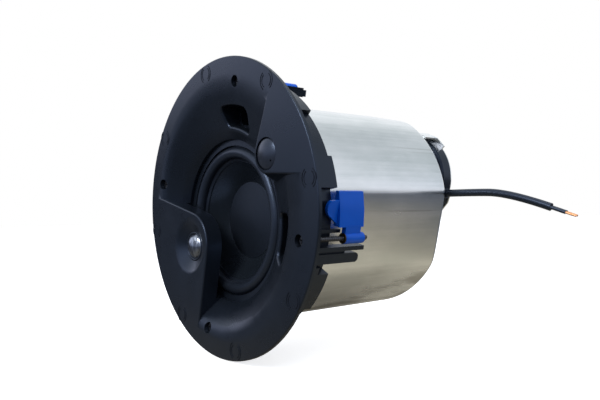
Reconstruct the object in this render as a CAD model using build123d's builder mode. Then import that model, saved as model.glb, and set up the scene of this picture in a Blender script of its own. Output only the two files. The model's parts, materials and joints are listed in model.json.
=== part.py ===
from build123d import *
import math
import os

os.makedirs("parts", exist_ok=True)

# Flange and frame. The origin is the middle of the flange's rear face, where the ceiling panel meets it.
# The speaker's axis is Y: the front faces -Y and the back can runs towards +Y. Depths are from the front.
flange_lip = 16.0
flange_thick = 3.0
layout_angle = 31.5
edge_round = 1.0

# Sculpted dish, woofer well and the two islands that stay at flange level
dish_inset = 1.6
dish_depth = 19.5
dish_lip = 8.0
dish_lip_depth = 6.0
dish_swell = 0.65
wall = 3.2
woofer_u = -19.0
well_radius = 66.5
mouth_step = 5.0
ledge_step = 2.5
deck_depth = 25.0
pod_apex = -18.4
pod_half_angle = 45.0
pod_round = 26.7
pod_skirt = 14.5
pod_edge = 1.2
plate_thick = 7.0
knob_u = 72.0
knob_radius = 11.0
knob_gap = 0.9
island_half_angle = 35.0
island_round = 13.9
island_draft = 28.0
island_edge = 1.4
tweeter_u = -60.0
horn_radius = 24.0
horn_throat = 12.6
horn_depth = 6.0
port_outer_margin = 14.2
port_inner_margin = 10.5
port_from = 35.5
port_to = 63.5
port_round = 4.5
port_lip = 2.0
port_wall = 2.0
port_end = 75.0

# Collar that enters the ceiling, with a window at each clamp
lip_clear = 0.8
collar_wall = 5.0
pad_rise = 3.5
pad_root_lap = 2.0
collar_depth = 32.0
seat_width = 4.5
deck_lap = 1.0
deck_front = 15.0
window_low = -11.5
window_high = 20.5
step_low = -14.5
step_depth = 22.0
pad_end = 33.5
window_floor = 4.5

# Clamp stations
stations = 4
station_angle = -13.5
screw_offset = 0.65
screw_radius = 1.9
head_radius = 3.8
head_front = 3.6
head_thick = 2.9
recess_radius = 4.5
tower_radius = 5.6
tower_depth = 12.0
screw_end = 64.0
running = 0.05
sleeve_radius = 3.0
dog_boss = 4.1
dog_front = 34.0
dog_back = 57.5
dog_travel = 18.0
dog_near = 8.4
dog_reach = 33.0
neck_half = 2.0
foot_front = 40.5
foot_back = 58.5
fin_front = 24.0
plate_end = 61.0
web_end = 46.0
rail_end = 58.0

# Back can of plated sheet steel with four flats
frame_clear = 1.1
can_flat_cut = 5.1
can_sheet = 1.0
pad_thick = 12.0
pad_clear = 0.3
can_end = 171.0
can_round = 6.5
lip_width = 3.7
lip_flat_width = 5.2
gasket_thick = 1.0
boss_inset = 5.0
boss_radius = 36.5
boss_rise = 5.6

# Terminal housing on the can's end
housing_lap = 2.9
housing_depth = 9.4
cover_thick = 1.2
cover_screw_inset = 9.4
cover_ear = 2.9
cover_heel = 1.8
tab_offset = 2.2

# Supply lead
lead_radius = 3.1
lead_z = 9.6
lead_drop = 4.4
grommet_inside = 7.5

# Woofer
frame_lap = 0.9
roll_gap = 0.9
roll_width = 10.2
roll_crest = 20.6
cone_edge = 27.6
cap_radius = 31.5
cap_depth = 41.0
cap_rise = 3.2
coil_radius = 16.0

# Fixings
can_screw_inset = 2.9
can_screw_radius = 1.25
can_screw_reach = 6.0
woofer_screw_inset = 3.2
woofer_screw_radius = 1.4
woofer_screw_reach = 1.9
tweeter_screw_ring = 17.6
tweeter_screw_radius = 1.1
tweeter_screw_reach = 1.6

# Woofer first, then the can around its frame, the collar around the can and the flange around the collar
mouth_radius = well_radius - mouth_step
roll_outer = mouth_radius - roll_gap
roll_inner = roll_outer - roll_width
frame_flange = well_radius + frame_lap
woofer_screw_ring = frame_flange - woofer_screw_inset
port_inner = well_radius + port_inner_margin
port_outer = well_radius + port_outer_margin
can_radius = frame_flange - woofer_u + frame_clear + can_sheet
can_flat = can_radius - can_flat_cut
can_lip = can_radius + lip_width
lip_flat = can_flat + lip_flat_width
can_screw_ring = can_flat + can_screw_inset
boss_u = can_radius - boss_inset - boss_radius
housing_radius = boss_radius + housing_lap
collar_inner = can_lip + lip_clear
collar_outer = collar_inner + collar_wall
pad_outer = collar_outer + pad_rise
pad_root = collar_inner + pad_root_lap
screw_ring = collar_outer + screw_offset
deck_inner = can_radius - seat_width
deck_outer = collar_inner + deck_lap
dish_radius = collar_outer - dish_inset
flange_radius = pad_outer + flange_lip
beyond = flange_radius - flange_lip / 2
ledge_depth = deck_depth - ledge_step
boss_end = can_end + boss_rise
housing_end = boss_end + housing_depth

u_x = math.cos(math.radians(layout_angle))
u_z = math.sin(math.radians(layout_angle))


def behind(depth):
    """Y of a depth measured from the flange's front face."""
    return depth - flange_thick


def flat(depth, centre=0.0):
    """Plane across the axis at a depth, with x along the layout line from a centre on that line."""
    return Plane(
        origin=(centre * u_x, behind(depth), centre * u_z), x_dir=(u_x, 0, u_z), z_dir=(0, -1, 0)
    )


def section(centre):
    """Plane through an axis on the layout line: x is the radius and y is the depth from the front."""
    return Plane(
        origin=(centre * u_x, -flange_thick, centre * u_z), x_dir=(u_x, 0, u_z), z_dir=(-u_z, 0, u_x)
    )


def spin(centre):
    """Axis along the speaker through a centre on the layout line."""
    return Axis((centre * u_x, 0, centre * u_z), (0, 1, 0))


def clamp_plane(depth):
    """Plane across the first clamp screw: x points away from the speaker's axis, y along the rim."""
    a = math.radians(station_angle)
    return Plane(
        origin=(screw_ring * math.cos(a), behind(depth), screw_ring * math.sin(a)),
        x_dir=(math.cos(a), 0, math.sin(a)),
        z_dir=(0, -1, 0),
    )


def rim_plane(depth):
    """Plane across the axis with x towards the first clamp screw."""
    a = math.radians(station_angle)
    return Plane(origin=(0, behind(depth), 0), x_dir=(math.cos(a), 0, math.sin(a)), z_dir=(0, -1, 0))


def arc_mid(radius, top, edge):
    """Middle point of an arc that leaves the axis squarely at top and reaches the radius at edge."""
    rise = edge - top
    full = (radius * radius + rise * rise) / (2 * rise)
    return (radius / 2, top + full - math.sqrt(full * full - radius * radius / 4))


def dish_ring(share):
    """Middle and radius of the dish at a share of its depth: a soft lip, and a swell on the knob's side."""
    lip = dish_lip * max(0, 1 - math.sqrt(share * dish_depth / dish_lip_depth)) ** 2
    swell = (1 - dish_swell) * share + dish_swell * math.sqrt(2 * share - share * share)
    near = dish_radius + dish_lip - swell * (dish_radius + dish_lip - well_radius - woofer_u)
    far = dish_radius + lip - share * (dish_radius - well_radius + woofer_u)
    return (near - far) / 2, (near + far) / 2


# Dish space in front of the baffle: a leaning funnel with a soft lip, around the tweeter pod and the
# knob's island
with BuildPart() as pod_prism:
    with BuildSketch(flat(0)):
        with BuildLine():
            FilletPolyline(
                (-beyond, beyond + pod_apex),
                (pod_apex, 0),
                (-beyond, -beyond - pod_apex),
                radius=pod_round,
            )
            Line((-beyond, -beyond - pod_apex), (-beyond, beyond + pod_apex))
        make_face()
    extrude(amount=-pod_skirt - 8)
    fillet(pod_prism.edges().group_by(Axis.Y)[0], radius=pod_edge)

island_apex = knob_u + 0.4 - island_round / math.sin(math.radians(island_half_angle))
island_run = beyond - island_apex
island_rise = island_run * math.tan(math.radians(island_half_angle))
with BuildPart() as island_prism:
    with BuildSketch(flat(0)):
        with BuildLine():
            FilletPolyline(
                (beyond, island_rise),
                (island_apex, 0),
                (beyond, -island_rise),
                radius=island_round,
            )
            Line((beyond, -island_rise), (beyond, island_rise))
        make_face()
    extrude(amount=-dish_depth, taper=-island_draft)
    fillet(island_prism.edges().group_by(Axis.Y)[0], radius=island_edge)

with BuildPart() as dish_space:
    for share in (0, 0.01, 0.05, 0.13, 0.72, 1):
        middle, radius = dish_ring(share)
        with BuildSketch(flat(share * dish_depth, middle)):
            Circle(radius)
    loft(ruled=True)
    add(pod_prism.part, mode=Mode.SUBTRACT)
    add(island_prism.part, mode=Mode.SUBTRACT)
    with BuildSketch(flat(pod_skirt)):
        with Locations((woofer_u, 0)):
            Circle(well_radius)
    extrude(amount=pod_skirt - ledge_depth)
    with BuildSketch(flat(pod_skirt)):
        with Locations((woofer_u, 0)):
            Circle(mouth_radius)
    extrude(amount=pod_skirt - deck_depth - 2)

# Port openings, one each side of the layout line
with BuildPart() as port_prism:
    with BuildSketch(flat(0)) as port_mouth:
        Circle(port_outer)
        with Locations((woofer_u, 0)):
            Circle(port_inner, mode=Mode.SUBTRACT)
        with BuildLine():
            Polyline(
                (0, 0),
                (beyond * math.cos(math.radians(port_from)), beyond * math.sin(math.radians(port_from))),
                (beyond * math.cos(math.radians(port_to)), beyond * math.sin(math.radians(port_to))),
                close=True,
            )
        make_face(mode=Mode.INTERSECT)
        fillet(port_mouth.vertices(), radius=port_round)
    extrude(amount=-deck_depth - 1)

with BuildPart() as port_body:
    with BuildSketch(flat(window_floor)):
        add(port_mouth.sketch_local)
        offset(amount=port_wall)
    extrude(amount=window_floor - deck_depth)

mirror_plane = Plane(origin=(0, 0, 0), x_dir=(u_x, 0, u_z), z_dir=(-u_z, 0, u_x))

# One clamp tower: the screw's boss, the guide rails and their foot
with BuildPart() as tower:
    with BuildSketch(clamp_plane(flange_thick - 1)):
        Circle(tower_radius)
    extrude(amount=flange_thick - 1 - tower_depth)
    with BuildSketch(clamp_plane(flange_thick - 1)):
        with Locations((-4.0, dog_boss + 0.65)):
            Rectangle(2.4, 2.5)
    extrude(amount=flange_thick - 1 - foot_front + 0.7)
    with BuildSketch(clamp_plane(flange_thick - 1)):
        with Locations((-1.9, -dog_boss - 3.1)):
            Rectangle(7.4, 3.1)
    extrude(amount=flange_thick - 1 - plate_end)
    with BuildSketch(clamp_plane(flange_thick - 1)):
        with Locations((-3.6, -dog_boss - 5.9)):
            Rectangle(4.0, 3.2)
    extrude(amount=flange_thick - 1 - web_end)
    with BuildSketch(clamp_plane(flange_thick - 1)):
        with Locations((-2.4, -dog_boss - 10.5)):
            Rectangle(5.2, 7.0)
    extrude(amount=flange_thick - 1 - rail_end)
    rail_ends = tower.edges().filter_by_position(Axis.Y, behind(rail_end - 0.1), behind(rail_end + 0.1))
    fillet(rail_ends.filter_by(Axis((0, 0, 0), clamp_plane(0).x_dir)), radius=3.0)

with BuildPart() as front_baffle:
    with BuildSketch(flat(0)):
        Circle(flange_radius)
    extrude(amount=-flange_thick)
    rim = front_baffle.edges().group_by(Axis.Y)[0]
    fillet(rim, radius=edge_round)
    with BuildSketch(flat(flange_thick - 0.5)):
        Circle(dish_radius)
    for share in (0.13, 0.72, 1):
        middle, radius = dish_ring(share)
        with BuildSketch(flat(share * dish_depth + wall, middle)):
            Circle(radius)
    loft(ruled=True)
    with BuildSketch(flat(flange_thick - 0.5)):
        Circle(collar_outer)
        Circle(collar_inner, mode=Mode.SUBTRACT)
    extrude(amount=flange_thick - 0.5 - collar_depth)
    for k in range(stations):
        for start, stop in ((window_high, pad_end), (-pad_end, window_low)):
            turn = 90 * k
            with BuildSketch(rim_plane(flange_thick - 0.5)):
                with BuildLine():
                    a = math.radians(turn + start)
                    b = math.radians(turn + stop)
                    m = (a + b) / 2
                    p1 = (pad_outer * math.cos(a), pad_outer * math.sin(a))
                    p2 = (pad_outer * math.cos(b), pad_outer * math.sin(b))
                    pm = (pad_outer * math.cos(m), pad_outer * math.sin(m))
                    q1 = (pad_root * math.cos(a), pad_root * math.sin(a))
                    q2 = (pad_root * math.cos(b), pad_root * math.sin(b))
                    ThreePointArc(p1, pm, p2)
                    Line(p2, q2)
                    Line(q2, q1)
                    Line(q1, p1)
                make_face()
            extrude(amount=flange_thick - 0.5 - collar_depth)
    with BuildSketch(flat(deck_front)):
        Circle(deck_outer)
        Circle(deck_inner, mode=Mode.SUBTRACT)
    extrude(amount=deck_front - deck_depth)
    with BuildSketch(flat(dish_depth)):
        with Locations((woofer_u, 0)):
            Circle(well_radius + wall)
    extrude(amount=dish_depth - deck_depth)
    add(port_body.part)
    add(mirror(port_body.part, about=mirror_plane, mode=Mode.PRIVATE))
    # windows and steps beside each clamp
    for k in range(stations):
        cuts = ((window_low, window_high, window_floor), (step_low, window_low, step_depth))
        for start, stop, floor in cuts:
            with BuildSketch(rim_plane(floor)):
                with BuildLine():
                    a = math.radians(90 * k + start)
                    b = math.radians(90 * k + stop)
                    m = (a + b) / 2
                    p1 = (beyond * math.cos(a), beyond * math.sin(a))
                    p2 = (beyond * math.cos(b), beyond * math.sin(b))
                    q1 = (deck_outer * math.cos(a), deck_outer * math.sin(a))
                    q2 = (deck_outer * math.cos(b), deck_outer * math.sin(b))
                    qm = (deck_outer * math.cos(m), deck_outer * math.sin(m))
                    ThreePointArc(q1, qm, q2)
                    Line(q2, p2)
                    Line(p2, p1)
                    Line(p1, q1)
                make_face()
            extrude(amount=floor - collar_depth - 1, mode=Mode.SUBTRACT)
    for k in range(stations):
        add(tower.part.rotate(Axis.Y, -90 * k))
    add(dish_space.part, mode=Mode.SUBTRACT)
    for opening in (port_prism.part, mirror(port_prism.part, about=mirror_plane, mode=Mode.PRIVATE)):
        add(opening, mode=Mode.SUBTRACT)
        rims = front_baffle.edges(Select.LAST).filter_by(Axis.Y, reverse=True)
        fillet(rims.filter_by_position(Axis.Y, behind(flange_thick), behind(dish_depth)), radius=port_lip)
    # hollow behind the tweeter pod, the horn and the hole behind it
    with BuildSketch(flat(plate_thick, tweeter_u)):
        Circle(pod_round - 4.4)
    extrude(amount=plate_thick - pod_skirt - 3, mode=Mode.SUBTRACT)
    with BuildSketch(section(tweeter_u)):
        with BuildLine():
            Polyline(
                (0, 0), (horn_radius, 0), (horn_throat, horn_depth), (horn_throat, plate_thick + 1),
                (0, plate_thick + 1), close=True,
            )
        make_face()
    revolve(axis=spin(tweeter_u), mode=Mode.SUBTRACT)
    # knob seat, its shaft hole and the hollow behind the island
    with BuildSketch(flat(0, knob_u)):
        Circle(knob_radius + knob_gap)
    extrude(amount=-2.6, mode=Mode.SUBTRACT)
    with BuildSketch(flat(0, knob_u)):
        Circle(3.4)
    extrude(amount=-9, mode=Mode.SUBTRACT)
    with BuildSketch(flat(6, knob_u)):
        Rectangle(26, 20)
    extrude(amount=6 - deck_depth, mode=Mode.SUBTRACT)
    # clamp screw recesses and bores
    with BuildSketch(rim_plane(0)):
        with PolarLocations(screw_ring, stations):
            Circle(recess_radius)
    extrude(amount=-head_front - head_thick - 0.1, mode=Mode.SUBTRACT)
    with BuildSketch(rim_plane(0)):
        with PolarLocations(screw_ring, stations):
            Circle(screw_radius + 0.35)
    extrude(amount=-tower_depth - 1, mode=Mode.SUBTRACT)
    # blind holes for the can's screws, the woofer's screws and the tweeter's screws
    with BuildSketch(rim_plane(deck_depth)):
        with PolarLocations(can_screw_ring, stations):
            Circle(can_screw_radius + running)
    extrude(amount=can_screw_reach, mode=Mode.SUBTRACT)
    with BuildSketch(flat(deck_depth, woofer_u)):
        with PolarLocations(woofer_screw_ring, 4, start_angle=45):
            Circle(woofer_screw_radius + running)
    extrude(amount=woofer_screw_reach, mode=Mode.SUBTRACT)
    with BuildSketch(flat(plate_thick, tweeter_u)):
        with PolarLocations(tweeter_screw_ring, 3):
            Circle(tweeter_screw_radius + running)
    extrude(amount=tweeter_screw_reach, mode=Mode.SUBTRACT)
front_baffle.part.label = "front_baffle"
export_step(front_baffle.part, "parts/front_baffle.step")

# Clamp dog, the threaded sleeve that it swings on, and the screw, all at the first station
with BuildPart() as dog_one:
    with BuildSketch(clamp_plane(dog_front)):
        with BuildLine():
            Polyline(
                (2.0, dog_near),
                (0.2, 20.5),
                (-3.5, dog_reach),
                (-6.5, dog_reach),
                (-5.8, 20.5),
                (-4.4, dog_near),
                close=True,
            )
        make_face()
    extrude(amount=dog_front - dog_back)
    with BuildSketch(clamp_plane(foot_front)):
        Circle(dog_boss)
    extrude(amount=foot_front - foot_back)
    with BuildSketch(clamp_plane(foot_front)):
        with Locations((0, dog_near / 2 + 0.5)):
            Rectangle(2 * neck_half, dog_near + 1)
    extrude(amount=foot_front - dog_back + 2.5)
    a = math.radians(station_angle)
    fin_plane = Plane(
        origin=((screw_ring - 4.2) * math.cos(a), -flange_thick, (screw_ring - 4.2) * math.sin(a)),
        x_dir=(-math.sin(a), 0, math.cos(a)),
        z_dir=(math.cos(a), 0, math.sin(a)),
    )
    with BuildSketch(fin_plane):
        with BuildLine():
            fin_top = Line((27, -dog_front - 1), (26.5, -fin_front - 3))
            fin_tip = ThreePointArc((26.5, -fin_front - 3), (21.5, -fin_front), (15.5, -fin_front - 3))
            fin_base = Line((15.5, -fin_front - 3), (9.5, -dog_front - 1))
            Line((9.5, -dog_front - 1), (27, -dog_front - 1))
        make_face()
    extrude(amount=2.6)
    with BuildSketch(clamp_plane(foot_front)):
        Circle(sleeve_radius + running)
    extrude(amount=foot_front - foot_back, mode=Mode.SUBTRACT)

with BuildPart() as sleeve_one:
    with BuildSketch(clamp_plane(foot_front - running)):
        Circle(sleeve_radius)
    extrude(amount=foot_front - foot_back - 2 * running)
    with BuildSketch(clamp_plane(foot_front - 0.6)):
        Circle(sleeve_radius + 0.8)
    extrude(amount=running - 0.6)
    with BuildSketch(clamp_plane(foot_back + running)):
        Circle(sleeve_radius + 0.8)
    extrude(amount=running - 0.6)
    with BuildSketch(clamp_plane(foot_front - 1)):
        Circle(screw_radius + running)
    extrude(amount=foot_front - foot_back - 3, mode=Mode.SUBTRACT)

with BuildPart() as screw_one:
    with BuildSketch(clamp_plane(head_front)):
        Circle(head_radius)
    extrude(amount=-head_thick)
    fillet(screw_one.edges().group_by(Axis.Y)[0], radius=1.0)
    with BuildSketch(clamp_plane(head_front + head_thick)):
        Circle(screw_radius)
    extrude(amount=head_front + head_thick - screw_end)
    chamfer(screw_one.edges().group_by(Axis.Y)[-1], length=0.8)
    with BuildSketch(clamp_plane(head_front)):
        Rectangle(1.0, 4.8)
        Rectangle(4.8, 1.0)
    extrude(amount=-1.7, mode=Mode.SUBTRACT)

for k in range(stations):
    with BuildPart() as clamp_dog:
        add(dog_one.part.rotate(Axis.Y, -90 * k))
    clamp_dog.part.label = f"clamp_dog_{k + 1}"
    export_step(clamp_dog.part, f"parts/clamp_dog_{k + 1}.step")
    with BuildPart() as clamp_sleeve:
        add(sleeve_one.part.rotate(Axis.Y, -90 * k))
    clamp_sleeve.part.label = f"clamp_sleeve_{k + 1}"
    export_step(clamp_sleeve.part, f"parts/clamp_sleeve_{k + 1}.step")
    with BuildPart() as clamp_screw:
        add(screw_one.part.rotate(Axis.Y, -90 * k))
    clamp_screw.part.label = f"clamp_screw_{k + 1}"
    export_step(clamp_screw.part, f"parts/clamp_screw_{k + 1}.step")

# Back can: drawn sheet with four flats, an out-turned lip and a raised seat for the terminal housing
can_front = deck_depth + gasket_thick
with BuildPart() as can_space:
    with BuildSketch(rim_plane(can_front)):
        Circle(can_radius - can_sheet)
        Rectangle(2 * (can_flat - can_sheet), 2 * (can_flat - can_sheet), mode=Mode.INTERSECT)
    extrude(amount=can_front - can_end + can_sheet)
    fillet(can_space.faces().sort_by(Axis.Y)[-1].edges(), radius=can_round - can_sheet)
    with BuildSketch(flat(can_end - 3, boss_u)):
        Circle(boss_radius - can_sheet)
    extrude(amount=can_end - 3 - boss_end + can_sheet)

with BuildPart() as back_can:
    with BuildSketch(rim_plane(can_front)):
        Circle(can_radius)
        Rectangle(2 * can_flat, 2 * can_flat, mode=Mode.INTERSECT)
    extrude(amount=can_front - can_end)
    fillet(back_can.faces().sort_by(Axis.Y)[-1].edges(), radius=can_round)
    with BuildSketch(rim_plane(can_front)):
        Circle(can_lip)
        Rectangle(2 * lip_flat, 2 * lip_flat, mode=Mode.INTERSECT)
    extrude(amount=-can_sheet)
    with BuildSketch(flat(can_end - 3, boss_u)):
        Circle(boss_radius)
    extrude(amount=can_end - 3 - boss_end)
    fillet(back_can.edges().group_by(Axis.Y)[-1], radius=1.5)
    add(can_space.part, mode=Mode.SUBTRACT)
    with BuildSketch(rim_plane(can_front)):
        with PolarLocations(can_screw_ring, stations):
            Circle(can_screw_radius + 0.2)
    extrude(amount=-can_sheet, mode=Mode.SUBTRACT)
    with BuildSketch(flat(boss_end - 2, boss_u)):
        Rectangle(12, 26)
    extrude(amount=-3, mode=Mode.SUBTRACT)
back_can.part.label = "back_can"
export_step(back_can.part, "parts/back_can.step")

with BuildPart() as can_gasket:
    with BuildSketch(rim_plane(deck_depth)):
        Circle(can_lip - 0.3)
        Rectangle(2 * lip_flat - 0.6, 2 * lip_flat - 0.6, mode=Mode.INTERSECT)
        Circle(deck_inner + 0.3, mode=Mode.SUBTRACT)
        with PolarLocations(woofer_u, 1, start_angle=layout_angle - station_angle):
            Circle(frame_flange + 0.4, mode=Mode.SUBTRACT)
        with PolarLocations(can_screw_ring, stations):
            Circle(can_screw_radius + 0.2, mode=Mode.SUBTRACT)
    extrude(amount=-gasket_thick)
can_gasket.part.label = "can_gasket"
export_step(can_gasket.part, "parts/can_gasket.step")

with BuildPart() as can_screws:
    with BuildSketch(rim_plane(can_front + can_sheet)):
        with PolarLocations(can_screw_ring, stations):
            Circle(can_screw_radius + 0.85)
    extrude(amount=-1.4)
    with BuildSketch(rim_plane(can_front + can_sheet)):
        with PolarLocations(can_screw_ring, stations):
            Circle(can_screw_radius)
    extrude(amount=can_screw_reach + gasket_thick + can_sheet - 0.4)
can_screws.part.label = "can_screws"
export_step(can_screws.part, "parts/can_screws.step")

# Woofer: gasket, surround, frame, cone, dust cap, coil, spider and magnet
lip_front = deck_depth + 0.6
frame_front = lip_front + 0.6
with BuildPart() as woofer_gasket:
    with BuildSketch(flat(deck_depth, woofer_u)):
        Circle(well_radius - 0.2)
        Circle(mouth_radius + 0.3, mode=Mode.SUBTRACT)
        with PolarLocations(woofer_screw_ring, 4, start_angle=45):
            Circle(woofer_screw_radius + 0.2, mode=Mode.SUBTRACT)
    extrude(amount=deck_depth - lip_front)
woofer_gasket.part.label = "woofer_gasket"
export_step(woofer_gasket.part, "parts/woofer_gasket.step")

cone_slope = (cap_depth - cone_edge) / (roll_inner - cap_radius)
with BuildPart() as woofer_surround:
    with BuildSketch(section(woofer_u)):
        with BuildLine():
            mid = (roll_outer + roll_inner) / 2
            lip_in = roll_inner - 1.4
            Line((well_radius - 0.4, lip_front), (roll_outer, lip_front))
            ThreePointArc((roll_outer, lip_front), (mid, roll_crest), (roll_inner + 0.6, cone_edge - 1.0))
            Line((roll_inner + 0.6, cone_edge - 1.0), (lip_in, cone_edge + 1.4 * cone_slope - 0.7))
            Line((lip_in, cone_edge + 1.4 * cone_slope - 0.7), (lip_in, cone_edge + 1.4 * cone_slope - 0.1))
            Line((lip_in, cone_edge + 1.4 * cone_slope - 0.1), (roll_inner + 1.1, cone_edge - 0.8))
            roll_end = (roll_outer - 0.7, frame_front)
            ThreePointArc((roll_inner + 1.1, cone_edge - 0.8), (mid, roll_crest + 0.8), roll_end)
            Line((roll_outer - 0.7, frame_front), (well_radius - 0.4, frame_front))
            Line((well_radius - 0.4, frame_front), (well_radius - 0.4, lip_front))
        make_face()
    revolve(axis=spin(woofer_u))
    with BuildSketch(flat(lip_front - 0.2, woofer_u)):
        with PolarLocations(woofer_screw_ring, 4, start_angle=45):
            Circle(woofer_screw_radius + 0.2)
    extrude(amount=-1, mode=Mode.SUBTRACT)
woofer_surround.part.label = "woofer_surround"
export_step(woofer_surround.part, "parts/woofer_surround.step")

cone_back = cone_edge + (roll_inner - coil_radius - 0.1) * cone_slope
with BuildPart() as woofer_cone:
    with BuildSketch(section(woofer_u)):
        with BuildLine():
            Polyline(
                (roll_inner, cone_edge),
                (coil_radius + 0.1, cone_back),
                (coil_radius + 0.1, cone_back + 1.1),
                (roll_inner, cone_edge + 1.1),
                close=True,
            )
        make_face()
    revolve(axis=spin(woofer_u))
woofer_cone.part.label = "woofer_cone"
export_step(woofer_cone.part, "parts/woofer_cone.step")

with BuildPart() as woofer_dust_cap:
    with BuildSketch(section(woofer_u)):
        with BuildLine():
            cap_top = cap_depth - cap_rise - 0.7
            cap_front = arc_mid(cap_radius, cap_top, cap_depth - 0.7)
            cap_back = arc_mid(cap_radius, cap_top + 0.8, cap_depth - 0.1)
            ThreePointArc((0, cap_top), cap_front, (cap_radius, cap_depth - 0.7))
            Line((cap_radius, cap_depth - 0.7), (cap_radius, cap_depth - 0.1))
            ThreePointArc((cap_radius, cap_depth - 0.1), cap_back, (0, cap_top + 0.8))
            Line((0, cap_top + 0.8), (0, cap_top))
        make_face()
    revolve(axis=spin(woofer_u))
woofer_dust_cap.part.label = "woofer_dust_cap"
export_step(woofer_dust_cap.part, "parts/woofer_dust_cap.step")

spider_front = cone_back + 1.8
plate_front = spider_front + 3.6
coil_end = plate_front + 13.0
magnet_front = plate_front + 4.0
magnet_back = magnet_front + 14.0
with BuildPart() as coil_former:
    with BuildSketch(flat(cone_back - 5, woofer_u)):
        Circle(coil_radius)
        Circle(coil_radius - 0.4, mode=Mode.SUBTRACT)
    extrude(amount=cone_back - 5 - coil_end)
coil_former.part.label = "coil_former"
export_step(coil_former.part, "parts/coil_former.step")

with BuildPart() as voice_coil:
    with BuildSketch(flat(plate_front - 3, woofer_u)):
        Circle(coil_radius + 0.6)
        Circle(coil_radius + running, mode=Mode.SUBTRACT)
    extrude(amount=plate_front - 3 - coil_end + 0.5)
voice_coil.part.label = "voice_coil"
export_step(voice_coil.part, "parts/voice_coil.step")

with BuildPart() as woofer_spider:
    with BuildSketch(section(woofer_u)):
        with BuildLine():
            Polyline(
                (coil_radius + 0.1, spider_front), (20, spider_front), (22, spider_front - 1),
                (25, spider_front + 1), (28, spider_front - 1), (31, spider_front + 1),
                (33, spider_front), (36, spider_front),
                (36, spider_front + 0.6), (33, spider_front + 0.6), (31, spider_front + 1.6),
                (28, spider_front - 0.4), (25, spider_front + 1.6), (22, spider_front - 0.4),
                (20, spider_front + 0.6), (coil_radius + 0.1, spider_front + 0.6), close=True,
            )
        make_face()
    revolve(axis=spin(woofer_u))
woofer_spider.part.label = "woofer_spider"
export_step(woofer_spider.part, "parts/woofer_spider.step")

with BuildPart() as woofer_frame:
    with BuildSketch(section(woofer_u)):
        with BuildLine():
            Polyline(
                (frame_flange, frame_front),
                (roll_outer - 1.2, frame_front),
                (roll_outer - 1.2, frame_front + 2),
                (37.5, spider_front - 1),
                (37.5, spider_front + 0.6),
                (33.5, spider_front + 0.6),
                (33.5, plate_front - 1.6),
                (18.4, plate_front - 1.6),
                (18.4, plate_front),
                (35, plate_front),
                (35, spider_front + 2.2),
                (39.2, spider_front + 2.2),
                (roll_outer + 1.2, frame_front + 1.6),
                (frame_flange, frame_front + 1.6),
                close=True,
            )
        make_face()
    revolve(axis=spin(woofer_u))
    with BuildSketch(flat(frame_front + 3, woofer_u)):
        with PolarLocations(48.5, 4):
            Rectangle(13, 34)
    extrude(amount=frame_front + 3 - spider_front - 4, mode=Mode.SUBTRACT)
    with BuildSketch(flat(frame_front - 0.2, woofer_u)):
        with PolarLocations(woofer_screw_ring, 4, start_angle=45):
            Circle(woofer_screw_radius + 0.2)
    extrude(amount=-2.2, mode=Mode.SUBTRACT)
woofer_frame.part.label = "woofer_frame"
export_step(woofer_frame.part, "parts/woofer_frame.step")

with BuildPart() as woofer_screws:
    with BuildSketch(flat(frame_front + 1.6, woofer_u)):
        with PolarLocations(woofer_screw_ring, 4, start_angle=45):
            Circle(woofer_screw_radius + 0.9)
    extrude(amount=-1.5)
    with BuildSketch(flat(frame_front + 1.6, woofer_u)):
        with PolarLocations(woofer_screw_ring, 4, start_angle=45):
            Circle(woofer_screw_radius)
    extrude(amount=woofer_screw_reach + 2.6)
woofer_screws.part.label = "woofer_screws"
export_step(woofer_screws.part, "parts/woofer_screws.step")

with BuildPart() as woofer_top_plate:
    with BuildSketch(flat(plate_front, woofer_u)):
        Circle(34)
        Circle(coil_radius + 1.3, mode=Mode.SUBTRACT)
    extrude(amount=plate_front - magnet_front)
woofer_top_plate.part.label = "woofer_top_plate"
export_step(woofer_top_plate.part, "parts/woofer_top_plate.step")

with BuildPart() as woofer_magnet:
    with BuildSketch(flat(magnet_front, woofer_u)):
        Circle(36)
        Circle(coil_radius + 5, mode=Mode.SUBTRACT)
    extrude(amount=magnet_front - magnet_back)
woofer_magnet.part.label = "woofer_magnet"
export_step(woofer_magnet.part, "parts/woofer_magnet.step")

with BuildPart() as woofer_yoke:
    with BuildSketch(flat(magnet_back, woofer_u)):
        Circle(34)
    extrude(amount=-5)
    with BuildSketch(flat(plate_front, woofer_u)):
        Circle(coil_radius - 1.1)
    extrude(amount=plate_front - magnet_back)
woofer_yoke.part.label = "woofer_yoke"
export_step(woofer_yoke.part, "parts/woofer_yoke.step")

# Tweeter behind the pod's horn
with BuildPart() as tweeter_plate:
    with BuildSketch(flat(plate_thick, tweeter_u)):
        Circle(21)
        Circle(horn_throat - 1.0, mode=Mode.SUBTRACT)
        with PolarLocations(tweeter_screw_ring, 3):
            Circle(tweeter_screw_radius + 0.2, mode=Mode.SUBTRACT)
    extrude(amount=-1.6)
tweeter_plate.part.label = "tweeter_plate"
export_step(tweeter_plate.part, "parts/tweeter_plate.step")

with BuildPart() as tweeter_screws:
    with BuildSketch(flat(plate_thick + 1.6, tweeter_u)):
        with PolarLocations(tweeter_screw_ring, 3):
            Circle(tweeter_screw_radius + 0.9)
    extrude(amount=-1.2)
    with BuildSketch(flat(plate_thick + 1.6, tweeter_u)):
        with PolarLocations(tweeter_screw_ring, 3):
            Circle(tweeter_screw_radius)
    extrude(amount=tweeter_screw_reach + 1.4)
tweeter_screws.part.label = "tweeter_screws"
export_step(tweeter_screws.part, "parts/tweeter_screws.step")

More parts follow.
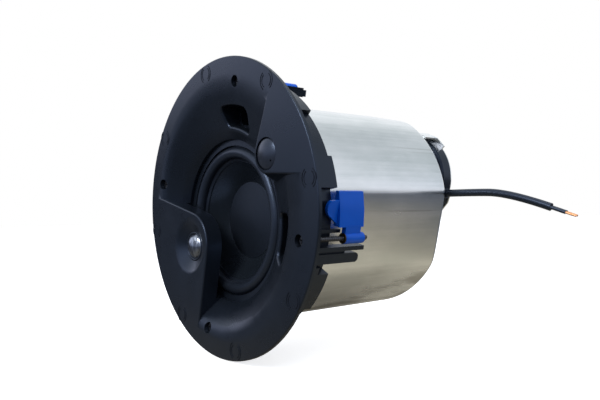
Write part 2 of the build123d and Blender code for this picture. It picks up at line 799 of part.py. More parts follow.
dome_radius = horn_throat - 2.2
with BuildPart() as tweeter_surround:
    with BuildSketch(section(tweeter_u)):
        with BuildLine():
            ThreePointArc(
                (horn_throat - 0.2, plate_thick - 0.6),
                (horn_throat - 1.2, plate_thick - 1.5),
                (dome_radius + 0.1, plate_thick - 0.6),
            )
            Line((dome_radius + 0.1, plate_thick - 0.6), (dome_radius + 0.1, plate_thick - 0.1))
            Line((dome_radius + 0.1, plate_thick - 0.1), (horn_throat - 0.2, plate_thick - 0.1))
            Line((horn_throat - 0.2, plate_thick - 0.1), (horn_throat - 0.2, plate_thick - 0.6))
        make_face()
    revolve(axis=spin(tweeter_u))
tweeter_surround.part.label = "tweeter_surround"
export_step(tweeter_surround.part, "parts/tweeter_surround.step")

dome_top = plate_thick - 5.6
with BuildPart() as tweeter_dome:
    with BuildSketch(section(tweeter_u)):
        with BuildLine():
            dome_edge = plate_thick - 0.7
            dome_front = arc_mid(dome_radius, dome_top, dome_edge)
            dome_back = arc_mid(dome_radius - 0.6, dome_top + 0.5, dome_edge)
            ThreePointArc((0, dome_top), dome_front, (dome_radius, dome_edge))
            Line((dome_radius, dome_edge), (dome_radius - 0.6, dome_edge))
            ThreePointArc((dome_radius - 0.6, dome_edge), dome_back, (0, dome_top + 0.5))
            Line((0, dome_top + 0.5), (0, dome_top))
        make_face()
    revolve(axis=spin(tweeter_u))
tweeter_dome.part.label = "tweeter_dome"
export_step(tweeter_dome.part, "parts/tweeter_dome.step")

with BuildPart() as tweeter_coil:
    with BuildSketch(flat(plate_thick - 0.65, tweeter_u)):
        Circle(dome_radius - 0.1)
        Circle(dome_radius - 0.6, mode=Mode.SUBTRACT)
    extrude(amount=-4.2)
tweeter_coil.part.label = "tweeter_coil"
export_step(tweeter_coil.part, "parts/tweeter_coil.step")

with BuildPart() as tweeter_cup:
    with BuildSketch(flat(plate_thick + 1.6, tweeter_u)):
        Circle(13.4)
    extrude(amount=-7.6)
    with BuildSketch(flat(plate_thick + 1.6, tweeter_u)):
        Circle(dome_radius + 0.7)
    extrude(amount=-5.8, mode=Mode.SUBTRACT)
tweeter_cup.part.label = "tweeter_cup"
export_step(tweeter_cup.part, "parts/tweeter_cup.step")

with BuildPart() as tweeter_magnet:
    with BuildSketch(flat(plate_thick + 0.6, tweeter_u)):
        Circle(dome_radius - 1.3)
    extrude(amount=-6.8)
tweeter_magnet.part.label = "tweeter_magnet"
export_step(tweeter_magnet.part, "parts/tweeter_magnet.step")

# Tap selector: domed knob on a shaft, and the rotary switch behind the island
with BuildPart() as tap_knob:
    with BuildSketch(section(knob_u)):
        with BuildLine():
            ThreePointArc((0, -2.2), arc_mid(knob_radius - 0.3, -2.2, 0.6), (knob_radius - 0.3, 0.6))
            Polyline(
                (knob_radius - 0.3, 0.6),
                (knob_radius, 1.0),
                (knob_radius, 2.3),
                (3.0, 2.3),
                (3.0, 14.0),
                (0, 14.0),
                (0, -2.2),
            )
        make_face()
    revolve(axis=spin(knob_u))
    with BuildSketch(flat(-3, knob_u)):
        with Locations((knob_radius * 0.25, -knob_radius * 0.72)):
            Circle(0.8)
    extrude(amount=-3.4, mode=Mode.SUBTRACT)
tap_knob.part.label = "tap_knob"
export_step(tap_knob.part, "parts/tap_knob.step")

with BuildPart() as tap_switch:
    with BuildSketch(flat(6, knob_u)):
        Rectangle(22, 17)
    extrude(amount=-12)
    with BuildSketch(flat(6, knob_u)):
        Circle(3.0 + running)
    extrude(amount=-8.2, mode=Mode.SUBTRACT)
    with BuildSketch(flat(18, knob_u)):
        with GridLocations(5.5, 9, 3, 2):
            Rectangle(2.4, 0.8)
    extrude(amount=-5)
tap_switch.part.label = "tap_switch"
export_step(tap_switch.part, "parts/tap_switch.step")

# Port tubes
with BuildPart() as port_tube_1:
    with BuildSketch(flat(deck_depth)) as tube_outline:
        add(port_mouth.sketch_local)
        offset(amount=0.5)
        with BuildSketch(mode=Mode.PRIVATE) as tube_bore:
            add(port_mouth.sketch_local)
            offset(amount=0.5 - port_wall)
        add(tube_bore.sketch_local, mode=Mode.SUBTRACT)
    extrude(amount=deck_depth - port_end)
port_tube_1.part.label = "port_tube_1"
export_step(port_tube_1.part, "parts/port_tube_1.step")

with BuildPart() as port_tube_2:
    add(mirror(port_tube_1.part, about=mirror_plane, mode=Mode.PRIVATE))
port_tube_2.part.label = "port_tube_2"
export_step(port_tube_2.part, "parts/port_tube_2.step")

# Line transformer on the can's end
inner_end = can_end - can_sheet
core_u = -38.0
with BuildPart() as transformer_core:
    with BuildSketch(flat(inner_end - 24, core_u)):
        Rectangle(48, 40)
        with GridLocations(24, 0, 2, 1):
            Rectangle(8, 24, mode=Mode.SUBTRACT)
    extrude(amount=-14)
transformer_core.part.label = "transformer_core"
export_step(transformer_core.part, "parts/transformer_core.step")

with BuildPart() as transformer_coil:
    with BuildSketch(flat(inner_end - 31, core_u)):
        Rectangle(31.4, 23.4)
    extrude(amount=-28)
    with BuildSketch(flat(inner_end - 24.2, core_u)):
        Rectangle(16.4, 25)
    extrude(amount=-14.4, mode=Mode.SUBTRACT)
transformer_coil.part.label = "transformer_coil"
export_step(transformer_coil.part, "parts/transformer_coil.step")

with BuildPart() as transformer_bracket:
    with BuildSketch(flat(inner_end - 1.5, core_u)):
        Rectangle(58, 40)
    extrude(amount=-1.5)
    with BuildSketch(flat(inner_end - 10, core_u)):
        with GridLocations(41, 33, 2, 2):
            Circle(3)
    extrude(amount=-9)
transformer_bracket.part.label = "transformer_bracket"
export_step(transformer_bracket.part, "parts/transformer_bracket.step")

# Crossover board with its parts, on posts from the can's end
board_front = inner_end - 20.0
with BuildPart() as crossover_board:
    with BuildSketch(flat(board_front)):
        with Locations((5, -50)):
            Rectangle(64, 36)
    extrude(amount=-1.6)
crossover_board.part.label = "crossover_board"
export_step(crossover_board.part, "parts/crossover_board.step")

with BuildPart() as board_posts:
    with BuildSketch(flat(board_front + 1.6)):
        with Locations((5, -50)):
            with GridLocations(56, 28, 2, 2):
                Circle(2.5)
    extrude(amount=board_front + 1.6 - inner_end)
board_posts.part.label = "board_posts"
export_step(board_posts.part, "parts/board_posts.step")

with BuildPart() as crossover_capacitor:
    with BuildSketch(flat(board_front - 14)):
        with Locations((21, -50)):
            Rectangle(11, 26)
    extrude(amount=-14)
    fillet(crossover_capacitor.edges().filter_by(Axis.Y), radius=1.2)
crossover_capacitor.part.label = "crossover_capacitor"
export_step(crossover_capacitor.part, "parts/crossover_capacitor.step")

with BuildPart() as crossover_inductor:
    with BuildSketch(flat(board_front - 12)):
        with Locations((-9, -50)):
            Circle(13)
            Circle(6, mode=Mode.SUBTRACT)
    extrude(amount=-12)
crossover_inductor.part.label = "crossover_inductor"
export_step(crossover_inductor.part, "parts/crossover_inductor.step")

pad_front = port_end + 25
with BuildPart() as damping_pad:
    with BuildSketch(rim_plane(pad_front)):
        Circle(can_radius - can_sheet - pad_clear)
        pad_flat = can_flat - can_sheet - pad_clear
        Rectangle(2 * pad_flat, 2 * pad_flat, mode=Mode.INTERSECT)
    extrude(amount=-pad_thick)
    fillet(damping_pad.edges().group_by(Axis.Y)[0], radius=4)
    fillet(damping_pad.edges().group_by(Axis.Y)[-1], radius=4)
damping_pad.part.label = "damping_pad"
export_step(damping_pad.part, "parts/damping_pad.step")

# Terminal housing with its connector, steel cover, grommet and screws
lead_depth = boss_end + lead_drop
housing_wall = boss_u * u_x + math.sqrt(housing_radius**2 - (lead_z - boss_u * u_z) ** 2)
cover_screw_span = 2 * (housing_radius - cover_screw_inset)
with BuildPart() as terminal_housing:
    with BuildSketch(flat(boss_end, boss_u)):
        Circle(housing_radius)
    extrude(amount=boss_end - housing_end)
    with BuildSketch(flat(boss_end + 2, boss_u)):
        Circle(housing_radius - 2.4)
    extrude(amount=boss_end + 2 - housing_end, mode=Mode.SUBTRACT)
    with BuildSketch(flat(boss_end + 1, boss_u)):
        with GridLocations(0, cover_screw_span, 1, 2):
            Circle(4)
    extrude(amount=boss_end + 1 - housing_end)
    with BuildSketch(flat(boss_end - 1, boss_u)):
        Rectangle(12, 26)
    extrude(amount=-4, mode=Mode.SUBTRACT)
    with BuildSketch(flat(housing_end, boss_u)):
        with GridLocations(0, cover_screw_span, 1, 2):
            Circle(1.5 + running)
    extrude(amount=6, mode=Mode.SUBTRACT)
    hole_start = (housing_wall - 2 * grommet_inside, behind(lead_depth), lead_z)
    with BuildSketch(Plane(origin=hole_start, x_dir=(0, 1, 0), z_dir=(1, 0, 0))):
        Circle(lead_radius + 1.2)
    extrude(amount=30, mode=Mode.SUBTRACT)
terminal_housing.part.label = "terminal_housing"
export_step(terminal_housing.part, "parts/terminal_housing.step")

with BuildPart() as terminal_cover:
    with BuildSketch(flat(housing_end, boss_u)):
        Circle(housing_radius - 0.3)
        ears = ((7.5, 37.5, housing_radius + cover_ear), (-80, -50, housing_radius + cover_heel))
        for start, stop, reach in ears:
            with BuildLine():
                Polyline(
                    (0, 0),
                    (reach * math.cos(math.radians(start)), reach * math.sin(math.radians(start))),
                    (
                        1.02 * reach * math.cos(math.radians((start + stop) / 2)),
                        1.02 * reach * math.sin(math.radians((start + stop) / 2)),
                    ),
                    (reach * math.cos(math.radians(stop)), reach * math.sin(math.radians(stop))),
                    close=True,
                )
            make_face()
        with GridLocations(0, cover_screw_span, 1, 2):
            Circle(1.8, mode=Mode.SUBTRACT)
    extrude(amount=-cover_thick)
    with BuildSketch(flat(can_end + 1, boss_u)):
        with Locations(Location((0, 0, 0), (0, 0, 30.4))):
            with Locations((housing_radius + tab_offset, 0)):
                Rectangle(1.2, 10.4)
    extrude(amount=can_end + 1 - housing_end - cover_thick)
terminal_cover.part.label = "terminal_cover"
export_step(terminal_cover.part, "parts/terminal_cover.step")

with BuildPart() as cover_screws:
    with BuildSketch(flat(housing_end + cover_thick, boss_u)):
        with GridLocations(0, cover_screw_span, 1, 2):
            Circle(3)
    extrude(amount=-1.8)
    with BuildSketch(flat(housing_end + cover_thick, boss_u)):
        with GridLocations(0, cover_screw_span, 1, 2):
            Circle(1.5)
    extrude(amount=cover_thick + 5)
cover_screws.part.label = "cover_screws"
export_step(cover_screws.part, "parts/cover_screws.step")

with BuildPart() as terminal_block:
    with BuildSketch(flat(boss_end + 2.1, boss_u)):
        Rectangle(16, 34)
    extrude(amount=-6)
    with BuildSketch(flat(boss_end + 6, boss_u)):
        with GridLocations(0, 7.5, 1, 4):
            Circle(2.2)
    extrude(amount=-4, mode=Mode.SUBTRACT)
terminal_block.part.label = "terminal_block"
export_step(terminal_block.part, "parts/terminal_block.step")

with BuildPart() as cable_grommet:
    grommet_start = (housing_wall - grommet_inside, behind(lead_depth), lead_z)
    with BuildSketch(Plane(origin=grommet_start, x_dir=(0, 1, 0), z_dir=(1, 0, 0))):
        Circle(lead_radius + 1.15)
        Circle(lead_radius + 0.05, mode=Mode.SUBTRACT)
    extrude(amount=10)
cable_grommet.part.label = "cable_grommet"
export_step(cable_grommet.part, "parts/cable_grommet.step")

# Supply lead: out of the housing's side, a slight arch, then a droop to two bared cores
lead_y = behind(lead_depth)
lead_points = [
    (64, lead_y, lead_z),
    (101, lead_y, lead_z),
    (138, lead_y + 1, lead_z - 1.4),
    (172, lead_y + 4, lead_z - 13.6),
]
bends = []
for before, corner, after in zip(lead_points, lead_points[1:], lead_points[2:]):
    run_in = Vector(*corner) - Vector(*before)
    run_out = Vector(*after) - Vector(*corner)
    half_turn = math.radians(run_in.get_angle(run_out) / 2)
    bends.append(0.45 * min(run_in.length, run_out.length) / math.tan(half_turn))
print("lead bend radii", [round(bend, 1) for bend in bends])
with BuildPart() as supply_lead:
    with BuildLine():
        lead_path = FilletPolyline(*lead_points, radius=bends)
    with BuildSketch(Plane(origin=lead_path @ 0, z_dir=lead_path % 0)):
        Circle(lead_radius)
    sweep(path=lead_path)
supply_lead.part.label = "supply_lead"
export_step(supply_lead.part, "parts/supply_lead.step")

tail = lead_path % 1
with BuildPart() as lead_cores:
    with BuildSketch(Plane(origin=lead_path @ 1, x_dir=(0, 1, 0), z_dir=tail)):
        with GridLocations(2.9, 0, 2, 1):
            Circle(1.35)
    extrude(amount=12)
lead_cores.part.label = "lead_cores"
export_step(lead_cores.part, "parts/lead_cores.step")

with BuildPart() as lead_tips:
    with BuildSketch(Plane(origin=lead_path @ 1 + tail * 12.0, x_dir=(0, 1, 0), z_dir=tail)):
        with GridLocations(2.9, 0, 2, 1):
            Circle(0.85)
    extrude(amount=8)
lead_tips.part.label = "lead_tips"
export_step(lead_tips.part, "parts/lead_tips.step")
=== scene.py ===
import json
import math
import bmesh
import bpy
from mathutils import Matrix, Vector


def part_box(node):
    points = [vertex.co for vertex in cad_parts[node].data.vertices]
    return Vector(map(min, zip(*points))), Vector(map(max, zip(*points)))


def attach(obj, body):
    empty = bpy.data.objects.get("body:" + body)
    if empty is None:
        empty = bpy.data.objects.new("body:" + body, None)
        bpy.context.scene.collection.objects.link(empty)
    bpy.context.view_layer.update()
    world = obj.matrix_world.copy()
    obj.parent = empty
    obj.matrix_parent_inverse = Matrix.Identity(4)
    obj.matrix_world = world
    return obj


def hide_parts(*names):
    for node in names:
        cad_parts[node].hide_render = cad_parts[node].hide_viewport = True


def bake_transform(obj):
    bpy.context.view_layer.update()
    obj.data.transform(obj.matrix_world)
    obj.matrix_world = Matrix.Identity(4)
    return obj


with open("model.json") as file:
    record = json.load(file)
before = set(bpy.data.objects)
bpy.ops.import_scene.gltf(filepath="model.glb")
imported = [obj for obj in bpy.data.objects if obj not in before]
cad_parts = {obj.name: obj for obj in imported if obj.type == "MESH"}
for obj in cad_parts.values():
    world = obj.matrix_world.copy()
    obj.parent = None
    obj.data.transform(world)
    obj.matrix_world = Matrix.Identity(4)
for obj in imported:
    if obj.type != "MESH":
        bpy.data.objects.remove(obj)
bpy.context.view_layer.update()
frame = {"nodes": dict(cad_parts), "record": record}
nodes = frame["nodes"]
nodeBody = {n: b for b, members in frame["record"]["behaviour"]["bodies"].items() for n in members}
nodeSlot = {s["node"]: s["material_slot"] for s in frame["record"]["subparts"]}
scene = bpy.context.scene
print("frame loaded,", len(nodes), "nodes")


# shader maths: a socket that can be added, subtracted and multiplied
class Val:
    def __init__(self, tree, socket):
        self.tree = tree
        self.socket = socket

    def maths(self, operation, *terms):
        node = self.tree.nodes.new("ShaderNodeMath")
        node.operation = operation
        for socket, term in zip(node.inputs, terms):
            if isinstance(term, Val):
                self.tree.links.new(term.socket, socket)
            else:
                socket.default_value = term
        return Val(self.tree, node.outputs[0])

    def __add__(self, other):
        return self.maths("ADD", self, other)

    def __radd__(self, other):
        return self.maths("ADD", other, self)

    def __sub__(self, other):
        return self.maths("SUBTRACT", self, other)

    def __rsub__(self, other):
        return self.maths("SUBTRACT", other, self)

    def __mul__(self, other):
        return self.maths("MULTIPLY", self, other)

    def __rmul__(self, other):
        return self.maths("MULTIPLY", other, self)

    def clip(self, low=0.0, high=1.0):
        return self.maths("MINIMUM", self.maths("MAXIMUM", self, low), high)


class Finish:
    def __init__(self, name, owner=None):
        self.mat = owner or bpy.data.materials.new(name)
        self.mat.use_nodes = True
        self.tree = self.mat.node_tree
        self.shader = self.tree.nodes.get("Principled BSDF")

    # any node: its type, its settings first, then the values or links of its sockets
    def add(self, kind, settings=None, values=None, out=0):
        node = self.tree.nodes.new("ShaderNode" + kind)
        for key, value in (settings or {}).items():
            if key == "stops":
                ramp = node.color_ramp
                while len(ramp.elements) < len(value):
                    ramp.elements.new(0.5)
                for element, (place, colour) in zip(ramp.elements, value):
                    element.position = place
                    element.color = (*colour, 1)
            else:
                setattr(node, key, value)
        for key, value in (values or {}).items():
            self.plug(value, node.inputs[key])
        return Val(self.tree, node.outputs[out])

    def plug(self, value, socket):
        if isinstance(value, Val):
            self.tree.links.new(value.socket, socket)
        else:
            socket.default_value = value

    def set(self, **sockets):
        for name, value in sockets.items():
            self.plug(value, self.shader.inputs[name.replace("_", " ")])

    # object coordinates, scaled along each axis
    def spot(self, scale=(1, 1, 1)):
        return self.add("Mapping", {}, {"Vector": self.add("TexCoord", out="Object"), "Scale": scale})

    def axis(self, name):
        return self.add("SeparateXYZ", {}, {"Vector": self.add("TexCoord", out="Object")}, name)

    def noise(self, scale, detail=3, rough=0.55, stretch=(1, 1, 1)):
        values = {"Vector": self.spot(stretch), "Scale": scale, "Detail": detail, "Roughness": rough}
        return self.add("TexNoise", {}, values)

    def ramp(self, factor, *stops):
        return self.add("ValToRGB", {"stops": stops}, {"Fac": factor})

    def band(self, value, low, high):
        limits = {"Value": value, "From Min": low, "From Max": high}
        return self.add("MapRange", {"interpolation_type": "SMOOTHSTEP"}, limits)

    def blend(self, factor, first, second):
        return self.add("Mix", {"data_type": "RGBA"}, {0: factor, 6: first, 7: second}, 2)

    def bump(self, height, strength, distance):
        return self.add("Bump", {}, {"Height": height, "Strength": strength, "Distance": distance})


def rgb(r, g, b):
    return (r, g, b, 1)


# geometry recipe: a node tree whose nodes are all added by one method
class Recipe:
    def __init__(self, name, **inputs):
        self.tree = bpy.data.node_groups.new(name, "GeometryNodeTree")
        self.tree.interface.new_socket("Geometry", in_out="OUTPUT", socket_type="NodeSocketGeometry")
        for key, kind in inputs.items():
            self.tree.interface.new_socket(key, in_out="INPUT", socket_type="NodeSocket" + kind)
        self.given = self.tree.nodes.new("NodeGroupInput").outputs

    def add(self, kind, settings=None, values=None):
        node = self.tree.nodes.new(kind)
        for key, value in (settings or {}).items():
            setattr(node, key, value)
        for key, value in (values or {}).items():
            for part in value if isinstance(value, list) else [value]:
                if isinstance(part, bpy.types.NodeSocket):
                    self.tree.links.new(part, node.inputs[key])
                else:
                    node.inputs[key].default_value = part
        return node.outputs[0] if node.outputs else None

    # the grown mesh, from input values that are set before the tree is first evaluated
    def grow(self, shape, finish, **values):
        whole = self.add("GeometryNodeRealizeInstances", {}, {"Geometry": shape})
        coated = self.add("GeometryNodeSetMaterial", {}, {"Geometry": whole, "Material": finish})
        self.add("NodeGroupOutput", {}, {"Geometry": coated})
        holder = bpy.data.objects.new("holder", bpy.data.meshes.new("holder"))
        scene.collection.objects.link(holder)
        modifier = holder.modifiers.new("recipe", "NODES")
        modifier.node_group = self.tree
        for item in self.tree.interface.items_tree:
            if item.in_out == "INPUT":
                modifier[item.identifier] = values[item.name]
        mesh = plain(holder)
        bpy.data.objects.remove(holder)
        return mesh


# what an object's modifiers make of it, as a plain mesh
def plain(holder):
    graph = bpy.context.evaluated_depsgraph_get()
    return bpy.data.meshes.new_from_object(holder.evaluated_get(graph), depsgraph=graph)


# moulded satin black plastic of the baffle, collar and rails
plastic = {
    "dark": rgb(0.0056, 0.0076, 0.0110), "pale": rgb(0.0076, 0.0101, 0.0145),
    "sheen": rgb(0.55, 0.70, 1.0), "rough": 0.22, "grain": 1500,
}


def makeBafflePlastic():
    f = Finish("bafflePlastic")
    cloud = f.noise(14, 4, 0.6)
    mottle = f.noise(55, 3, 0.6, (1, 1, 2.2))
    grain = f.noise(plastic["grain"], 2, 0.5)
    f.set(Base_Color=f.blend(f.band(cloud, 0.35, 0.7), plastic["dark"], plastic["pale"]))
    f.set(Roughness=plastic["rough"] + 0.14 * cloud + 0.10 * (mottle - 0.5))
    f.set(Normal=f.bump(grain, 0.1, 0.0001), Specular_IOR_Level=0.5, Specular_Tint=plastic["sheen"])
    return f.mat


# zinc-plated drawn sheet: drawing lines along the can, cloudy patches, and darker warm patches towards the
# bottom
zinc = {
    "bright": rgb(0.92, 0.93, 0.94), "grey": rgb(0.71, 0.745, 0.75), "mottle": rgb(0.26, 0.235, 0.20),
    "rough": 0.13, "mottleFrom": -0.040, "mottleFull": -0.075,
}


def makeZinc():
    f = Finish("zincSheet")
    drawn = f.noise(75, 5, 0.7, (1, 0.02, 1))
    fine = f.noise(480, 3, 0.6, (1, 0.012, 1))
    cloud = f.noise(13, 5, 0.65, (1, 0.5, 1))
    blot = f.noise(24, 2, 0.5, (1, 0.6, 1))
    score = f.band(f.noise(170, 2, 0.5, (1, 0.008, 1)), 0.62, 0.70) * f.band(cloud, 0.45, 0.60)
    # darker, warmer patches towards the bottom of the can
    low = f.band(f.axis("Z"), zinc["mottleFrom"], zinc["mottleFull"])
    mottle = low * f.band(f.noise(34, 4, 0.6, (1, 0.25, 1)), 0.47, 0.64)
    sheet = f.blend(f.band(0.35 * drawn + 0.65 * cloud, 0.38, 0.62), zinc["grey"], zinc["bright"])
    f.set(Base_Color=f.blend((0.75 * mottle + 0.35 * score).clip(), sheet, zinc["mottle"]), Metallic=1.0)
    f.set(Roughness=(zinc["rough"] + 0.10 * cloud + 0.10 * blot + 0.10 * (drawn - 0.5) + 0.2 * mottle).clip())
    f.set(Normal=f.bump(drawn + 0.5 * fine, 0.08, 0.0005))
    return f.mat


# moulded nylon of the clamp dogs
nylon = {
    "dark": rgb(0.0003, 0.076, 0.48), "light": rgb(0.0008, 0.112, 0.66),
    "rough": 0.30, "gloss": 0.25, "grain": 1300,
}


def makeBlueNylon():
    f = Finish("blueNylon")
    cloud = f.noise(60, 3)
    grain = f.noise(nylon["grain"], 2)
    f.set(Base_Color=f.blend(cloud, nylon["dark"], nylon["light"]), Specular_IOR_Level=nylon["gloss"])
    f.set(Roughness=nylon["rough"] + 0.12 * cloud, Normal=f.bump(grain, 0.15, 0.0001))
    return f.mat


# turned or drawn metal, with fine rings round the axis
def makeTurned(name, dark, light, rough):
    f = Finish(name)
    rings = f.noise(900, 2, 0.5, (0.1, 1, 0.1))
    cloud = f.noise(120, 3)
    f.set(Base_Color=f.blend(cloud, dark, light), Metallic=1.0)
    f.set(Roughness=rough + 0.12 * rings + 0.08 * cloud, Normal=f.bump(rings, 0.12, 0.0001))
    return f.mat


# plain dull finish with a fine grain
def makeMatte(name, dark, light, rough, grain, depth=0.0002, gloss=0.5):
    f = Finish(name)
    cloud = f.noise(30, 3)
    speck = f.noise(grain, 3, 0.6)
    f.set(Base_Color=f.blend((0.5 * cloud + 0.5 * speck).clip(), dark, light))
    f.set(Roughness=(rough + 0.12 * (cloud - 0.5) + 0.10 * (speck - 0.5)).clip())
    f.set(Normal=f.bump(speck, 0.2, depth), Specular_IOR_Level=gloss, Specular_Tint=plastic["sheen"])
    return f.mat


# woven cloth of the spider, stiffened with resin
cloth = {"thread": rgb(0.62, 0.46, 0.16), "gap": rgb(0.30, 0.20, 0.05), "weave": 380, "rough": 0.85}


def makeCloth():
    f = Finish("spiderCloth")
    waves = {"Vector": f.spot(), "Scale": cloth["weave"], "Distortion": 0.4}
    across = f.add("TexWave", {"bands_direction": "X"}, waves)
    along = f.add("TexWave", {"bands_direction": "Z"}, waves)
    weave = across * along
    f.set(Base_Color=f.blend(weave, cloth["gap"], cloth["thread"]), Roughness=cloth["rough"] - 0.1 * weave)
    f.set(Normal=f.bump(weave, 0.4, 0.0003))
    return f.mat


# crossover board, with copper fields showing pale through its green lacquer
board = {"lacquer": rgb(0.02, 0.16, 0.06), "field": rgb(0.05, 0.26, 0.10), "fields": 160, "rough": 0.35}


def makeBoard():
    f = Finish("circuitBoard")
    away = f.add("TexVoronoi", {}, {"Vector": f.spot(), "Scale": board["fields"]}, "Distance")
    tracks = f.band(away, 0.25, 0.3)
    f.set(Base_Color=f.blend(tracks, board["lacquer"], board["field"]))
    f.set(Roughness=board["rough"] + 0.1 * tracks)
    return f.mat


# wound wire and the lead's bare tips
copper = {"dark": rgb(0.55, 0.22, 0.09), "light": rgb(0.86, 0.45, 0.24), "turns": 1600, "rough": 0.25}


def makeCopper():
    f = Finish("copperWire")
    turns = f.noise(copper["turns"], 2, 0.5, (0.15, 1, 0.15))
    f.set(Base_Color=f.blend(turns, copper["dark"], copper["light"]), Metallic=1.0)
    f.set(Roughness=copper["rough"] + 0.2 * turns, Normal=f.bump(turns, 0.3, 0.0002))
    return f.mat


# bright dome, slightly crinkled, with soft upright streaks: the crinkle is in its bump, and the streaks in
# its colour are painted reflections
dome = {"dark": rgb(0.09, 0.10, 0.12), "light": rgb(0.34, 0.37, 0.42), "crinkleAndPaintedStreaks": 260, "rough": 0.16}


def makeDome():
    f = Finish("domeMetal")
    crinkleAndPaintedStreaks = f.noise(dome["crinkleAndPaintedStreaks"], 2, 0.5, (1, 1, 0.22))
    # the light and dark streaks in the dome's colour are painted reflection
    f.set(Base_Color=f.blend(f.band(crinkleAndPaintedStreaks, 0.38, 0.62), dome["dark"], dome["light"]), Metallic=1.0)
    f.set(Roughness=dome["rough"] + 0.12 * crinkleAndPaintedStreaks, Normal=f.bump(crinkleAndPaintedStreaks, 0.6, 0.0016))
    return f.mat


finishes = {
    "baffle_plastic": makeBafflePlastic(),
    "plated_steel": makeZinc(),
    "clamp_plastic": makeBlueNylon(),
    "brass": makeTurned("darkBrass", rgb(0.10, 0.075, 0.035), rgb(0.20, 0.15, 0.07), rough=0.34),
    "screw_steel": makeTurned("blackSteel", rgb(0.07, 0.072, 0.08), rgb(0.13, 0.135, 0.15), rough=0.30),
    "foam": makeMatte(
        "closedFoam", rgb(0.05, 0.05, 0.055), rgb(0.14, 0.14, 0.15), rough=0.92, grain=700, depth=0.0006),
    "surround_rubber": makeMatte(
        "softRubber", rgb(0.0085, 0.0110, 0.0160), rgb(0.0130, 0.0165, 0.0230), rough=0.34, grain=900,
        depth=0.0001),
    "cone_poly": makeMatte(
        "conePoly", rgb(0.0078, 0.0104, 0.0140), rgb(0.0110, 0.0144, 0.0190), rough=0.25, grain=1100,
        depth=0.0001),
    "cap_poly": makeMatte(
        "capPoly", rgb(0.0072, 0.0094, 0.0135), rgb(0.0094, 0.0120, 0.0170), rough=0.50, grain=1500,
        depth=0.0001, gloss=0.3),
    "motor_steel": makeMatte(
        "coatedSteel", rgb(0.03, 0.03, 0.033), rgb(0.06, 0.06, 0.065), rough=0.42, grain=800),
    "ferrite": makeMatte(
        "ferriteGrey", rgb(0.06, 0.06, 0.063), rgb(0.11, 0.11, 0.115), rough=0.62, grain=500),
    "former": makeTurned("formerAlloy", rgb(0.62, 0.62, 0.63), rgb(0.8, 0.8, 0.81), rough=0.28),
    "copper": makeCopper(),
    "spider_cloth": makeCloth(),
    "dome_metal": makeDome(),
    "tweeter_plastic": makeMatte(
        "blackPlastic", rgb(0.010, 0.0105, 0.012), rgb(0.018, 0.019, 0.022), rough=0.45, grain=1200,
        depth=0.0001),
    "knob_plastic": makeMatte(
        "knobPlastic", rgb(0.014, 0.017, 0.023), rgb(0.020, 0.023, 0.031), rough=0.30, grain=1500,
        depth=0.0001),
    "board": makeBoard(),
}
print("finishes made,", len(finishes))

# pieces that stay as they are take their finish; shown ones become smooth-shaded copies
smooth = {
    "angle": 34,
    "weld": 2e-6,
    "sliver": 1e-7,
    "flatLead": 60,
    "shown": [
        "front_baffle", "terminal_housing", "terminal_cover", "cover_screws", "cable_grommet",
        "woofer_cone", "woofer_dust_cap", "tweeter_dome", "tweeter_plate",
        "tap_knob", "tap_switch", "port_tube_1", "port_tube_2", "can_gasket", "lead_cores",
    ] + [f"clamp_{kind}_{k}" for kind in ("dog", "sleeve") for k in range(1, 5)],
}


def opened(mesh):
    work = bmesh.new()
    work.from_mesh(mesh)
    return work


def closed(work, mesh):
    work.to_mesh(mesh)
    work.free()
    return mesh


# one welded mesh of a node's loose triangles, without the shading that it was loaded with
def welded(node):
    mesh = nodes[node].data.copy()
    for layer in ("custom_normal", "sharp_edge", "sharp_face"):
        if layer in mesh.attributes:
            mesh.attributes.remove(mesh.attributes[layer])
    work = opened(mesh)
    bmesh.ops.remove_doubles(work, verts=work.verts, dist=smooth["weld"])
    bmesh.ops.dissolve_degenerate(work, edges=work.edges, dist=smooth["sliver"])
    return closed(work, mesh)


# smooth shading that large flat faces lead, so that they stay flat up to a soft edge
def shade(mesh, degrees):
    mesh.shade_smooth()
    mesh.set_sharp_from_angle(angle=math.radians(degrees))
    holder = bpy.data.objects.new("holder", mesh)
    scene.collection.objects.link(holder)
    weighted = holder.modifiers.new("weighted", "WEIGHTED_NORMAL")
    weighted.keep_sharp = True
    weighted.weight = smooth["flatLead"]
    made = plain(holder)
    bpy.data.objects.remove(holder)
    return made


# a piece at the origin, of one finish
def newPiece(name, data, finish):
    data.materials.clear()
    data.materials.append(finish)
    piece = bpy.data.objects.new(name, data)
    scene.collection.objects.link(piece)
    return piece


def place(name, mesh, finish, body, *stoodFor, slot=None):
    piece = newPiece(name, mesh, finish)
    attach(piece, body)
    if stoodFor:
        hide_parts(*stoodFor)
    return piece


# a mesh that stands for one node, on its body and in its finish
def standIn(node, mesh):
    slot = nodeSlot[node]
    return place(node + ".skin", mesh, finishes[slot], nodeBody[node], node, slot=slot)


def middle(node):
    low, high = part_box(node)
    return (low + high) / 2


for name, node in nodes.items():
    node.data.materials.clear()
    node.data.materials.append(finishes[nodeSlot[name]])
for name in smooth["shown"]:
    standIn(name, shade(welded(name), smooth["angle"]))
print("smooth copies made,", len(smooth["shown"]))

# suspensions between the speaker and a moving node, each listed with an outer radius and an inner one
suspensions = {
    "woofer_surround": {"moves": "woofer_cone", "outer": 0.0585, "inner": 0.0495},
    "woofer_spider": {"moves": "woofer_cone", "outer": 0.0340, "inner": 0.0175},
    "tweeter_surround": {"moves": "tweeter_dome", "outer": 0.0123, "inner": 0.0106},
}


